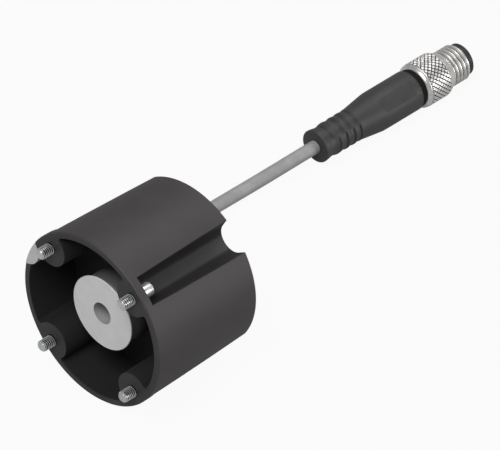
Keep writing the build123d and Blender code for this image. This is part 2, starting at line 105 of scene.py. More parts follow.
# Lead
LEAD_RADIUS = 1.425
LEAD_ON_FLOOR = FLOOR + LEAD_RADIUS
GLAND_TIP = (0, 32.8, -9.5)
COIL_X = -23.5
COIL_NEAR = 24.5
COIL_FAR = 39.5
INNER_LANE = 8.56
OUTER_LANE = 11.4
COIL_STEP = math.radians(15)
COIL_JOINED = 5
HALF_TURN = 12
FULL_TURN = 24
LEAD_TO_COIL = ((0, 27.4, -9.5), (0, 37.4, -9.5), (-3.9, 45.2, -13.8), (-12, 47.6, -17.0))
LANE_CHANGE = (
    (COIL_X + (2 * OUTER_LANE + INNER_LANE) / 3, COIL_NEAR + 5, LEAD_ON_FLOOR),
    (COIL_X + (OUTER_LANE + 2 * INNER_LANE) / 3, COIL_NEAR + 10, LEAD_ON_FLOOR),
)
LEAD_TO_PLUG = (
    (-15.15, 27.0, LEAD_ON_FLOOR), (-15.55, 31.0, LEAD_ON_FLOOR), (-18.1, 38.0, -16.9),
    (-20.9, 45.0, -14.2), (-21.85, 53.5, -13.85), (-24.6, 61.5, -16.8), (-24.05, 70.5, -16.3),
    (PLUG_X, 78.5, PLUG_Z), (PLUG_X, PLUG_START + 1.5, PLUG_Z),
)

# Mounting screws
SCREW_REACH = 16.0
SCREW_OFFSET = SCREW_REACH * DIAGONAL
SCREW_RADIUS = 1.22
SCREW_ROOT = 0.97
SCREW_PITCH = 0.45
SCREW_TIP = -2.95
SCREW_POINT = 0.32
SCREW_SHANK = 1.0
FLANGE = 1.85
HEAD_RADIUS = 1.48
HEAD_END = 4.85
SOCKET_RADIUS = 0.866
SOCKET_LENGTH = 3
SCREW_SWING = 0.4

# How a thread's pitch is shared out
THREAD_FLANK = 0.36
THREAD_LAND = 0.14

# Sides of round pieces
COARSE_SIDES = 48
FINE_SIDES = 96


# Tools for modelling

def clear_selection():
    """Leave edit mode with nothing selected."""
    if bpy.context.object and bpy.context.object.mode != "OBJECT":
        bpy.ops.object.mode_set(mode="OBJECT")
    bpy.ops.object.select_all(action="DESELECT")


def take(piece):
    """Make one piece the only selected and active one."""
    clear_selection()
    piece.select_set(True)
    bpy.context.view_layer.objects.active = piece


def edit(piece, kind="VERT"):
    """Open a piece for editing with nothing selected on it."""
    take(piece)
    bpy.ops.object.mode_set(mode="EDIT")
    bpy.ops.mesh.select_mode(type=kind)
    bpy.ops.mesh.select_all(action="DESELECT")


def close_up(piece):
    """Join a mesh's meeting points and turn its faces outwards."""
    edit(piece)
    bpy.ops.mesh.select_all(action="SELECT")
    bpy.ops.mesh.remove_doubles(threshold=0.001 * MM)
    bpy.ops.mesh.normals_make_consistent(inside=False)
    bpy.ops.object.mode_set(mode="OBJECT")


def pick(piece, low, high=math.inf):
    """Select the points of a mesh between two distances from the Y axis, and open it for editing."""
    edit(piece)
    bpy.ops.object.mode_set(mode="OBJECT")
    for point in piece.data.vertices:
        point.select = low < math.hypot(point.co.x, point.co.z) / MM < high
    bpy.ops.object.mode_set(mode="EDIT")


def turn(name, profile, sides, closed=True):
    """A body turned about Y from (radius, y) points: one ring, extruded and resized along the profile."""
    radius, y = profile[0]
    clear_selection()
    bpy.ops.mesh.primitive_circle_add(
        vertices=sides, radius=radius * MM, location=(0, y * MM, 0), rotation=(math.pi / 2, 0, 0)
    )
    piece = bpy.context.object
    piece.name = name
    bpy.ops.object.transform_apply(location=True, rotation=True)
    bpy.ops.object.mode_set(mode="EDIT")
    bpy.ops.mesh.select_all(action="SELECT")
    for next_radius, next_y in profile[1:] + (profile[:1] if closed else []):
        bpy.ops.mesh.extrude_region_move(
            TRANSFORM_OT_translate={"value": (0, (next_y - y) * MM, 0)}
        )
        ratio = next_radius / radius
        bpy.ops.transform.resize(value=(ratio, 1, ratio), center_override=(0, next_y * MM, 0))
        radius, y = next_radius, next_y
    if not closed:
        bpy.ops.mesh.select_all(action="SELECT")
        bpy.ops.mesh.fill_holes(sides=0)
    close_up(piece)
    return piece


def combine(piece, other, operation):
    """Join, trim or cut one piece with another, which is used up."""
    take(piece)
    change = piece.modifiers.new("combine", "BOOLEAN")
    change.operation = operation
    change.solver = "EXACT"
    change.object = other
    bpy.ops.object.modifier_apply(modifier=change.name)
    bpy.data.objects.remove(other)


def thread(name, crest, root, pitch, start, end, steps):
    """A threaded rod about Y: a profile one pitch long, wound up and trimmed flat at both ends."""
    clear_selection()
    bpy.ops.mesh.primitive_plane_add(size=pitch * MM, location=(root * MM, (start - pitch) * MM, 0))
    piece = bpy.context.object
    piece.name = name
    bpy.ops.object.transform_apply(location=True)
    bpy.ops.object.mode_set(mode="EDIT")
    bpy.ops.mesh.select_all(action="SELECT")
    bpy.ops.mesh.merge(type="CENTER")
    height = crest - root
    for outwards, share in (
        (height, THREAD_FLANK), (0, THREAD_LAND), (-height, THREAD_FLANK), (0, THREAD_LAND)
    ):
        bpy.ops.mesh.extrude_vertices_move(
            TRANSFORM_OT_translate={"value": (outwards * MM, share * pitch * MM, 0)}
        )
    bpy.ops.object.mode_set(mode="OBJECT")
    winding = piece.modifiers.new("winding", "SCREW")
    winding.axis = "Y"
    winding.angle = 2 * math.pi
    winding.screw_offset = pitch * MM
    winding.iterations = math.ceil((end - start) / pitch) + 2
    winding.steps = winding.render_steps = steps
    winding.use_merge_vertices = True
    winding.merge_threshold = 0.001 * MM
    winding.use_smooth_shade = False
    bpy.ops.object.modifier_apply(modifier=winding.name)
    for place, inwards in ((start, 1), (end, -1)):
        edit(piece)
        bpy.ops.mesh.select_all(action="SELECT")
        bpy.ops.mesh.bisect(
            plane_co=(0, place * MM, 0), plane_no=(0, inwards, 0), use_fill=True, clear_inner=True,
            threshold=0.0001 * MM,
        )
    close_up(piece)
    return piece


def soften(piece, angle):
    """Smooth shading that keeps the edges sharper than an angle in degrees."""
    take(piece)
    bpy.ops.object.shade_smooth_by_angle(angle=math.radians(angle))


def settle(piece, place, swing=0.0):
    """Put a piece at its place, swung about Y in radians, with its origin left at the frame's origin."""
    take(piece)
    piece.rotation_euler = (0, swing, 0)
    piece.location = Vector(place) * MM
    bpy.ops.object.transform_apply(location=True, rotation=True, scale=True)


def copied(piece, name):
    """A copy of a piece with a mesh of its own."""
    twin = piece.copy()
    twin.data = piece.data.copy()
    twin.name = name
    bpy.context.collection.objects.link(twin)
    return twin


def dressed(piece, finish):
    """Give a piece its material."""
    piece.data.materials.clear()
    piece.data.materials.append(finish)


# Tools for materials

class Value:
    """A number or colour that varies over a surface. Arithmetic on it adds Math nodes."""

    def __init__(self, finish, socket):
        self.finish = finish
        self.socket = socket

    def __add__(self, other):
        return self.finish.math("ADD", self, other)

    def __sub__(self, other):
        return self.finish.math("SUBTRACT", self, other)

    def __rsub__(self, other):
        return self.finish.math("SUBTRACT", other, self)

    def __mul__(self, other):
        return self.finish.math("MULTIPLY", self, other)

    def __truediv__(self, other):
        return self.finish.math("DIVIDE", self, other)

    def __pow__(self, other):
        return self.finish.math("POWER", self, other)

    def __abs__(self):
        return self.finish.math("ABSOLUTE", self)

    def lower_of(self, other):
        """This or another, whichever is lower."""
        return self.finish.math("MINIMUM", self, other)

    def sine(self, rate):
        """A wave from -1 to 1 that turns by rate radians per unit."""
        return self.finish.math("SINE", self * rate)

    def clipped(self, low, high, rise="LINEAR"):
        """0 below low and 1 above high, with a straight rise between."""
        return self.finish.node(
            "ShaderNodeMapRange", {"interpolation_type": rise},
            Value=self, From_Min=low, From_Max=high, To_Min=0.0, To_Max=1.0,
        )

    def eased(self, low, high):
        """0 below low and 1 above high, with a soft rise between."""
        return self.clipped(low, high, "SMOOTHSTEP")


class Finish:
    """One material round a Principled shader, with places read in the object's own coordinates."""

    def __init__(self, name, specular=0.5, metallic=0.0):
        self.material = bpy.data.materials.new(name)
        self.material.use_nodes = True
        self.tree = self.material.node_tree
        self.shader = self.tree.nodes["Principled BSDF"]
        self.set("Specular IOR Level", specular)
        self.set("Metallic", metallic)
        self.place = self.node("ShaderNodeTexCoord", output="Object")

    def feed(self, socket, value):
        """Link a varying value to a socket, or set the socket to a constant."""
        if isinstance(value, Value):
            self.tree.links.new(value.socket, socket)
        else:
            socket.default_value = value

    def set(self, name, value):
        """Feed one input of the shader."""
        self.feed(self.shader.inputs[name], value)

    def node(self, kind, settings=None, output=0, **inputs):
        """A node of some type: first its settings, then its sockets by name, or by number as in0, in1."""
        made = self.tree.nodes.new(kind)
        for key, value in (settings or {}).items():
            setattr(made, key, value)
        for key, value in inputs.items():
            socket = int(key[2:]) if key[:2] == "in" else key.replace("_", " ")
            self.feed(made.inputs[socket], value)
        return Value(self, made.outputs[output])

    def math(self, operation, *values):
        """One sum on values or plain numbers."""
        sockets = {f"in{i}": value for i, value in enumerate(values)}
        return self.node("ShaderNodeMath", {"operation": operation}, **sockets)

    def axis(self, name):
        """One coordinate of the place, in mm."""
        return self.node("ShaderNodeSeparateXYZ", output=name, Vector=self.place) / MM

    def noise(self, size, detail):
        """Soft blotches about size mm across, from 0 to 1."""
        return self.node(
            "ShaderNodeTexNoise", Vector=self.place, Scale=1 / (size * MM), Detail=detail
        )

    def blend(self, share, first, second):
        """A colour between two others."""
        pair = [c if isinstance(c, Value) else (*c, 1.0) for c in (first, second)]
        return self.node(
            "ShaderNodeMix", {"data_type": "RGBA"}, output=2, in0=share, in6=pair[0], in7=pair[1]
        )

    def bump(self, height, depth, before=None):
        """Raise the surface by a height from 0 to 1, times a depth in mm, on top of another bump."""
        under = {"Normal": before} if before else {}
        return self.node("ShaderNodeBump", Height=height, Distance=depth * MM, Strength=1.0, **under)

    def done(self, colour, roughness, normal):
        """The material, with the three inputs that vary on every piece."""
        self.set("Base Color", colour)
        self.set("Roughness", roughness)
        self.set("Normal", normal)
        return self.material


def grey(value, red=0.0, blue=0.0):
    """A colour near grey from an sRGB level out of 255, with a share more of red or of blue."""
    level = value / 255
    linear = level / 12.92 if level <= 0.04045 else ((level + 0.055) / 1.055) ** 2.4
    return (linear * (1 + red), linear, linear * (1 + blue))


def shaded(colour, share):
    """A darker colour: a share of each of its parts."""
    return tuple(part * share for part in colour)


def distance(across, up):
    """How far a place is from where both values are 0."""
    return (across * across + up * up) ** 0.5


def from_axis(finish, x=0.0, z=0.0):
    """Distance from an axis parallel to Y."""
    return distance(finish.axis("X") - x, finish.axis("Z") - z)


# Materials

def moulded_plastic(name, outer, inner, channel_highlight):
    """The housing's satin plastic, spark-eroded, with painted shade in the cavity and beside the channels'
    middle, a painted highlight down the channels' middle and painted light on the front of the centre boss.
    """
    finish = Finish(name, specular=0.6)
    reach = from_axis(finish)
    depth = finish.axis("Y")
    across = abs(finish.axis("X"))
    up = abs(finish.axis("Z"))
    sideways = (across - up) * DIAGONAL
    inwards = ((across + up) * DIAGONAL - SCREW_REACH).lower_of(0.0)
    from_slot = distance(sideways, inwards) - depth * CHANNEL_DRAFT
    in_channel = (1 - from_slot.eased(*CHANNEL_EDGE)) * depth.eased(*CHANNEL_START)
    outside = reach.eased(*SKIN_EDGE)
    boss = (1 - reach.eased(*BOSS_EDGE)) * (1 - depth.eased(*BOSS_FADE))
    face = (1 - depth.eased(*FACE_DEPTH)) * reach.eased(*FACE_INSIDE) * (1 - reach.eased(*FACE_OUTSIDE))
    # Painted shade: inside the skin, the cavity takes a darker tone.
    tone = finish.blend(outside, inner, outer)
    # Painted highlight down the channels' middle, with painted shade towards their sides.
    channel_highlight_and_shade = finish.blend((sideways * sideways).eased(*CHANNEL_SHADE), channel_highlight, inner)
    tone = finish.blend(in_channel * (1 - outside), tone, channel_highlight_and_shade)
    # Painted light on the front of the centre boss, fading darker deeper in.
    tone = finish.blend(boss, tone, grey(94))
    tone = finish.blend(face, tone, grey(40, 0.06, 0.03))
    fine = finish.noise(0.16, 2)
    broad = finish.noise(6.0, 3)
    worn = finish.blend(broad.eased(0.35, 0.75) * outside * 0.1, tone, grey(84, 0.1, 0.04))
    colour = finish.blend(fine.eased(0.5, 0.8) * outside * 0.12, worn, grey(22))
    inside = (1 - outside) * (1 - boss) * (1 - face)
    rough = broad * 0.1 + fine * 0.08 + inside * 0.25 + 0.49
    return finish.done(colour, rough, finish.bump(fine, 0.012))


def plain_plastic(name, colour, roughness=0.45):
    """A small moulded piece with a fine grain and faint flow marks."""
    finish = Finish(name)
    fine = finish.noise(0.15, 2)
    broad = finish.noise(2.5, 3)
    tone = finish.blend(broad.eased(0.3, 0.7), shaded(colour, 0.82), colour)
    return finish.done(tone, broad * 0.12 + (roughness - 0.06), finish.bump(fine, 0.01))


def grip_plastic():
    """The plug's satin grip, with painted shade in its waves and at its front end, and short slots at its
    sides made of a bump with painted shade in them.
    """
    finish = Finish("boot_plastic", specular=0.7)
    along = finish.axis("Y") - PLUG_START
    across = abs(finish.axis("X") - PLUG_X)
    at_side = (across / from_axis(finish, PLUG_X, PLUG_Z)).eased(0.78, 0.9)

    def nearest(places):
        """Distance along the grip to the nearest of some places."""
        away = abs(along - places[0])
        for place in places[1:]:
            away = away.lower_of(abs(along - place))
        return away

    fine = finish.noise(0.2, 2)
    broad = finish.noise(2.5, 3)
    # Painted shade in the valleys of the waves, left out at the sides.
    wave = (1 - nearest(BOOT_VALLEYS).eased(0.1, 0.6)) * (1 - at_side)
    # Short slots at the sides: a bump for their depth, and painted shade in them.
    slot = (1 - nearest(BOOT_SLOTS).eased(0.05, 0.32)) * at_side
    tone = finish.blend(broad.eased(0.3, 0.7), grey(38), grey(44))
    tone = finish.blend(wave * 0.9, tone, grey(4))
    tone = finish.blend(slot, tone, grey(2))
    # Painted shade at the grip's front end, next to the nut.
    tone = finish.blend(along.eased(BOOT_LENGTH - 0.5, BOOT_LENGTH - 0.1), tone, grey(14))
    relief = finish.bump(fine, 0.02, finish.bump(1 - slot, SLOT_DEPTH))
    return finish.done(tone, broad * 0.12 + slot * 0.3 + 0.48, relief)


def carrier_plastic():
    """The contact carrier's plastic, with painted deep shade where it lies between the grip and the nut."""
    finish = Finish("carrier_plastic", specular=0.3)
    fine = finish.noise(0.15, 2)
    open_end = (finish.axis("Y") - PLUG_START).eased(NUT_REAR + 2.0, NUT_REAR + 6.0)
    # Painted shade: near black between the grip and the nut, its own grey towards its open end.
    tone = finish.blend(open_end, grey(5), grey(44))
    return finish.done(tone, 0.85 - open_end * 0.4 + fine * 0.05, finish.bump(fine, 0.01))


def knurled_plating():
    """Nickel plating, bright on the crests of the knurl and dull between them, with painted shade between
    the crests and in the thread's roots.
    """
    finish = Finish("nut_nickel", metallic=1.0)
    reach = from_axis(finish, PLUG_X, PLUG_Z)
    along = finish.axis("Y") - PLUG_START
    knurl = along.eased(KNURL_START, KNURL_START + 0.1) * (1 - along.eased(KNURL_END - 0.1, KNURL_END))
    sunk = 1 - reach.eased(KNURL_RADIUS - 0.7 * KNURL_DEPTH, KNURL_RADIUS - 0.2 * KNURL_DEPTH)
    threaded = along.eased(THREAD_START, THREAD_START + 0.2)
    root = (1 - reach.eased(THREAD_ROOT + 0.1, THREAD_RADIUS - 0.1)) * threaded
    smooth_end = along.eased(KNURL_END + 0.1, KNURL_END + 0.3)
    broad = finish.noise(0.9, 3)
    fine = finish.noise(0.08, 2)
    tone = finish.blend(broad.eased(0.35, 0.7), (0.74, 0.73, 0.71), (0.86, 0.85, 0.83))
    # Painted shade in the knurl's grooves.
    tone = finish.blend(knurl * sunk, tone, grey(70))
    # Painted shade in the thread's roots.
    tone = finish.blend(root * 0.6, tone, grey(110))
    rough = broad * 0.06 + knurl * 0.16 + smooth_end * 0.12 + 0.27
    return finish.done(tone, rough, finish.bump(fine, 0.0006))


def screw_plating():
    """Zinc plating, with painted shade between the turns of the thread and painted light on the head."""
    finish = Finish("screw_steel", metallic=1.0)
    depth = finish.axis("Y")
    head = depth.eased(1.0, 1.6)
    reach = distance(abs(finish.axis("X")) - SCREW_OFFSET, abs(finish.axis("Z")) - SCREW_OFFSET)
    threaded = depth.eased(SCREW_TIP + 0.3, SCREW_TIP + 0.45)
    root = (1 - reach.eased(SCREW_ROOT + 0.03, SCREW_RADIUS - 0.04)) * threaded
    broad = finish.noise(0.9, 3)
    fine = finish.noise(0.08, 2)
    tone = finish.blend(broad.eased(0.35, 0.7), (0.68, 0.69, 0.7), (0.8, 0.81, 0.82))
    # Painted shade between the turns of the thread.
    tone = finish.blend(root, tone, grey(72))
    # Painted light: the head is near white and partly matt, so it looks lit inside its dark channel.
    tone = finish.blend(head, tone, grey(240))
    finish.set("Metallic", 1 - head * 0.25)
    return finish.done(tone, broad * 0.1 + 0.19, finish.bump(fine, 0.002))


def soft_rubber(name, colour):
    """A matt elastomer with a dusty bloom."""
    finish = Finish(name, specular=0.3)
    dust = finish.noise(1.2, 4)
    fine = finish.noise(0.12, 2)
    tone = finish.blend(dust.eased(0.45, 0.8) * 0.3, colour, grey(98))
    return finish.done(tone, dust * 0.15 + 0.53, finish.bump(fine, 0.01))


def turned_bronze():
    """The bush's bare bronze, with fine lathe marks round its axis."""
    finish = Finish("bush_bronze", metallic=1.0)
    bronze = (0.6, 0.42, 0.2)
    marks = (from_axis(finish) + finish.axis("Y")).sine(2 * math.pi / 0.12)
    broad = finish.noise(1.6, 3)
    fine = finish.noise(0.1, 2)
    tone = finish.blend(broad.eased(0.3, 0.75), shaded(bronze, 0.8), bronze)
    rough = broad * 0.1 + fine * 0.06 + 0.3
    return finish.done(tone, rough, finish.bump(marks * 0.5 + 0.5, 0.002))


def plated(name, colour, roughness):
    """Bright plating with a faint mottle."""
    finish = Finish(name, metallic=1.0)
    broad = finish.noise(0.9, 3)
    fine = finish.noise(0.08, 2)
    tone = finish.blend(broad.eased(0.35, 0.7), shaded(colour, 0.86), colour)
    return finish.done(tone, broad * 0.1 + (roughness - 0.05), finish.bump(fine, 0.002))


def disc_face():
    """The rotor's light satin face with fine turning rings, and a greyer bore."""
    finish = Finish("turned_disc", specular=0.3)
    reach = from_axis(finish)
    rings = reach.sine(2 * math.pi / 0.22)
    broad = finish.noise(3.0, 3)
    fine = finish.noise(0.1, 2)
    face = finish.blend(broad.eased(0.3, 0.7), grey(210), grey(216))
    tone = finish.blend(reach.eased(*BORE_EDGE), grey(140), face)
    return finish.done(tone, broad * 0.1 + 0.45, finish.bump(rings * 0.3 + fine, 0.003))


def lead_jacket():
    """The lead's grey jacket, with faint blotches and a matt skin."""
    finish = Finish("lead_jacket", specular=0.35)
    fine = finish.noise(0.14, 2)
    broad = finish.noise(2.2, 3)
    tone = finish.blend(broad.eased(0.3, 0.7), grey(146), grey(156))
    return finish.done(tone, broad * 0.1 + 0.45, finish.bump(fine, 0.008))


def laminate():
    """The circuit board: green solder mask with its weave, and the tracks beneath it."""
    finish = Finish("board_laminate")
    weave = finish.axis("X").sine(9.0) * finish.axis("Z").sine(9.0)
    lines = finish.math("FRACT", finish.noise(2.0, 0) * 14.0).eased(0.42, 0.5)
    tone = finish.blend(lines * 0.6, (0.012, 0.11, 0.05), (0.03, 0.2, 0.09))
    return finish.done(tone, weave * 0.03 + 0.3, finish.bump(lines + weave * 0.1, 0.02))


def core_jackets():
    """Four insulated cores, each in a colour of its own."""
    finish = Finish("core_jackets")
    right = finish.axis("X").clipped(-0.01, 0.01)
    upper = (finish.axis("Z") - GLAND_TIP[2]).clipped(-0.01, 0.01)
    low = finish.blend(right, (0.02, 0.07, 0.35), (0.02, 0.02, 0.02))
    high = finish.blend(right, (0.16, 0.06, 0.02), (0.75, 0.75, 0.72))
    fine = finish.noise(0.12, 2)
    return finish.done(finish.blend(upper, low, high), fine * 0.1 + 0.4, finish.bump(fine, 0.004))


# The housing's second colour is painted shade in its cavity, and its third a painted highlight down the
# channels' middle.
HOUSING_DARK = moulded_plastic("housing_plastic", grey(44, 0.2, 0.08), grey(6), grey(58))
COVER_DARK = moulded_plastic("cover_plastic", grey(46, 0.1, 0.05), grey(42, 0.1, 0.05), grey(42))
INSERT_LIGHT = plain_plastic("insert_plastic", grey(200))
BOOT_DARK = grip_plastic()
CARRIER_DARK = carrier_plastic()
TIE_BLACK = plain_plastic("tie_plastic", grey(40), 0.4)
CHIP_BLACK = plain_plastic("chip_resin", grey(44), 0.6)
WASHER_WHITE = plain_plastic("washer_plastic", grey(226, 0.02, -0.02))
HEADER_NATURAL = plain_plastic("header_plastic", (0.6, 0.56, 0.45))
CERAMIC = plain_plastic("capacitor_ceramic", (0.42, 0.28, 0.16), 0.35)
GLAND_BLACK = soft_rubber("gland_rubber", grey(48))
GASKET_BLACK = soft_rubber("gasket_rubber", grey(42))
LEAD_GREY = lead_jacket()
DISC_GREY = disc_face()
BOARD_GREEN = laminate()
CORES = core_jackets()
SCREW_STEEL = screw_plating()
NUT_NICKEL = knurled_plating()
MAGNET_PLATE = plated("magnet_plating", (0.6, 0.6, 0.6), 0.2)
RING_DARK = plated("ring_steel", (0.2, 0.2, 0.21), 0.4)
PIN_GOLD = plated("pin_plating", (0.83, 0.6, 0.25), 0.22)
BUSH_BRONZE = turned_bronze()

# Finishes of the pieces that keep their modelled shape
CAD_FINISHES = {
    "housing": HOUSING_DARK, "locating_insert": INSERT_LIGHT, "rotor_hub": DISC_GREY,
    "sensor_magnet": MAGNET_PLATE, "thrust_washer": WASHER_WHITE, "bearing_bush": BUSH_BRONZE,
    "retaining_ring": RING_DARK, "circuit_board": BOARD_GREEN, "hall_chip": CHIP_BLACK,
    "processor_chip": CHIP_BLACK, "capacitors": CERAMIC, "wire_header": HEADER_NATURAL,
    "lead_cores": CORES, "cover_gasket": GASKET_BLACK, "rear_cover": COVER_DARK,
    "cover_screw_1": SCREW_STEEL, "cover_screw_2": SCREW_STEEL, "cable_gland": GLAND_BLACK,
    "coil_tie": TIE_BLACK, "contact_carrier": CARRIER_DARK, "contact_pin_1": PIN_GOLD,
    "contact_pin_2": PIN_GOLD, "contact_pin_3": PIN_GOLD, "contact_pin_4": PIN_GOLD,
}


# The lead

def coil_end(lane, middle_y, steps):
    """Points of one lane round an end of the coil, in steps of 15 degrees."""
    swings = [step * COIL_STEP for step in steps]
    return [
        (COIL_X + lane * math.cos(swing), middle_y + lane * math.sin(swing), LEAD_ON_FLOOR)
        for swing in swings
    ]


def coil_side(lane):
    """Points of one lane along the coil's straight side."""
    return [(COIL_X - lane, COIL_NEAR + ahead, LEAD_ON_FLOOR) for ahead in (9, 4)]


def lead_points():
    """The lead's route: out of the gland, down to the coil, two turns and on to the plug."""
    return [
        *LEAD_TO_COIL,
        *coil_end(OUTER_LANE, COIL_FAR, range(COIL_JOINED, HALF_TURN + 1)),
        *coil_side(OUTER_LANE),
        *coil_end(OUTER_LANE, COIL_NEAR, range(HALF_TURN, FULL_TURN + 1)),
        *LANE_CHANGE,
        *coil_end(INNER_LANE, COIL_FAR, range(HALF_TURN + 1)),
        *coil_side(INNER_LANE),
        *coil_end(INNER_LANE, COIL_NEAR, range(HALF_TURN, FULL_TURN)),
        *LEAD_TO_PLUG,
    ]


def make_lead():
    """The grey lead as one smooth tube, and the points of its middle line."""
    line = bpy.data.curves.new("lead_line", "CURVE")
    line.dimensions = "3D"
    spline = line.splines.new("NURBS")
    points = lead_points()
    spline.points.add(len(points) - 1)
    for point, place in zip(spline.points, points):
        point.co = (*(Vector(place) * MM), 1.0)
    spline.order_u = 3
    spline.use_endpoint_u = True
    spline.resolution_u = 8
    route = bpy.data.objects.new("lead", line)
    bpy.context.collection.objects.link(route)
    middle = [tuple(point.co) for point in bpy.data.meshes.new_from_object(route).vertices]
    line.bevel_depth = LEAD_RADIUS * MM
    line.bevel_resolution = 8
    line.use_fill_caps = True
    take(route)
    bpy.ops.object.convert(target="MESH")
    lead = bpy.context.object
    lead.name = "lead"
    close_up(lead)
    soften(lead, 60)
    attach(lead, "body")
    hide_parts("lead_start", "lead_coil", "lead_end")
    dressed(lead, LEAD_GREY)
    return lead, middle


# The plug

def boot_waves():
    """The bend relief's outline: four valleys, each falling and rising along half a cosine."""
    outline = []
    start = BOOT_ROUND
    for crest, valley, depth in zip(BOOT_CRESTS, BOOT_VALLEYS, BOOT_DEPTHS):
        for low, high, falling in ((start, valley, True), (valley, crest, False)):
            for step in range(1, WAVE_STEPS + 1):
                share = step / WAVE_STEPS
                wave = (1 - math.cos(math.pi * share)) / 2
                sunk = depth * (wave if falling else 1 - wave)
                outline.append((BOOT_END_RADIUS - sunk, low + (high - low) * share))
        start = crest
    return outline


def make_boot():
    """The plug's moulded grip: a wavy bend relief that tapers up to a round body with two flats."""
    hollow = BOOT_LENGTH - 2
    boot = turn("boot", [
        (LEAD_RADIUS + LAP, 0), (BOOT_END_RADIUS - BOOT_ROUND, 0), (BOOT_END_RADIUS - 0.07, 0.08),
        (BOOT_END_RADIUS, BOOT_ROUND), *boot_waves(), (BOOT_END_RADIUS, 10.85),
        (BOOT_END_RADIUS + 0.2, 12.2), (BOOT_RADIUS - 0.12, 15.6), (BOOT_RADIUS - 0.02, 16.4),
        (BOOT_RADIUS, 17.2), (BOOT_RADIUS, BOOT_LENGTH - 0.2), (BOOT_RADIUS - 0.06, BOOT_LENGTH - 0.06),
        (BOOT_RADIUS - 0.2, BOOT_LENGTH), (NUT_BORE, BOOT_LENGTH), (NUT_BORE, hollow),
        (LEAD_RADIUS + LAP, hollow),
    ], FINE_SIDES)
    for side in (-1, 1):
        clear_selection()
        bpy.ops.mesh.primitive_cube_add(size=MM, location=(0, FLAT_MIDDLE * MM, side * FLAT_REACH * MM))
        flat = bpy.context.object
        bpy.ops.object.mode_set(mode="EDIT")
        bpy.ops.transform.resize(value=FLAT_SIZE, center_override=flat.location)
        bpy.ops.mesh.bevel(offset=FLAT_CORNER * MM, segments=8, affect="EDGES")
        bpy.ops.object.mode_set(mode="OBJECT")
        bpy.ops.object.transform_apply(location=True)
        combine(boot, flat, "DIFFERENCE")
    soften(boot, 40)
    settle(boot, (PLUG_X, PLUG_START, PLUG_Z), math.radians(PLUG_TURN))
    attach(boot, "body")
    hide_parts("plug_boot")
    dressed(boot, BOOT_DARK)
    return boot


def make_knurl():
    """A ring of raised diamonds: poked squares, their triangles joined in pairs and inset one by one."""
    pitch = (KNURL_END - KNURL_START) / KNURL_ROWS
    rows = [(KNURL_LOW, KNURL_START + row * pitch) for row in range(KNURL_ROWS + 1)]
    inside = KNURL_LOW - KNURL_WALL
    ring = turn("knurl", [(inside, KNURL_START), *rows, (inside, KNURL_END)], KNURLS_AROUND)
    pick(ring, KNURL_LOW - NEAR)
    bpy.ops.mesh.poke()
    edit(ring, "EDGE")
    bpy.ops.object.mode_set(mode="OBJECT")
    for edge in ring.data.edges:
        ends = [ring.data.vertices[i].co / MM for i in edge.vertices]
        square_side = all(math.hypot(end.x, end.z) > KNURL_LOW - NEAR for end in ends)
        at_rim = any(all(abs(end.y - rim) < NEAR for end in ends) for rim in (KNURL_START, KNURL_END))
        edge.select = square_side and not at_rim
    bpy.ops.object.mode_set(mode="EDIT")
    bpy.ops.mesh.dissolve_edges(use_verts=False, use_face_split=False)
    pick(ring, KNURL_LOW - 0.1, KNURL_LOW - NEAR)
    outwards = 1 / math.cos(math.pi / KNURLS_AROUND)
    bpy.ops.transform.resize(value=(outwards, 1, outwards), center_override=(0, 0, 0))
    pick(ring, KNURL_LOW - 0.1)
    bpy.ops.mesh.inset(thickness=KNURL_GROOVE * MM, depth=KNURL_DEPTH * MM, use_individual=True)
    bpy.ops.object.mode_set(mode="OBJECT")
    return ring


def make_nut():
    """The turning sleeve: a rounded rear edge, a diamond knurl, a slope and a thread."""
    nut = turn("knurled_nut", [
        (NUT_BORE + LAP, NUT_REAR), (4.17, NUT_REAR), (4.3, NUT_REAR + 0.06), (4.48, NUT_REAR + 0.2),
        (4.65, NUT_REAR + 0.45), (4.77, NUT_REAR + 0.72), (4.8, KNURL_START - 0.12),
        (KNURL_LOW, KNURL_START + LAP), (KNURL_BED, KNURL_START + LAP), (KNURL_BED, KNURL_END - LAP),
        (KNURL_LOW, KNURL_END - LAP), (4.76, KNURL_END + 0.1), (4.72, KNURL_END + 0.25),
        (4.02, THREAD_START - 0.08), (3.97, THREAD_START + LAP), (NUT_BORE + LAP, THREAD_START + LAP),
    ], FINE_SIDES)
    combine(nut, make_knurl(), "UNION")
    worm = thread("worm", THREAD_RADIUS, THREAD_ROOT, THREAD_PITCH, THREAD_START - 0.3, THREAD_END, 72)
    outside = THREAD_RADIUS - 0.02
    blank = turn("blank", [
        (NUT_BORE, THREAD_START - 0.25), (outside, THREAD_START - 0.25), (outside, THREAD_END - 0.5),
        (THREAD_RADIUS - 0.5, THREAD_END - 0.01), (NUT_BORE, THREAD_END - 0.01),
    ], FINE_SIDES)
    combine(worm, blank, "INTERSECT")
    combine(nut, worm, "UNION")
    soften(nut, 28)
    settle(nut, (PLUG_X, PLUG_START, PLUG_Z))
    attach(nut, "plug_nut")
    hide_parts("coupling_nut")
    dressed(nut, NUT_NICKEL)
    return nut


# The mounting screws

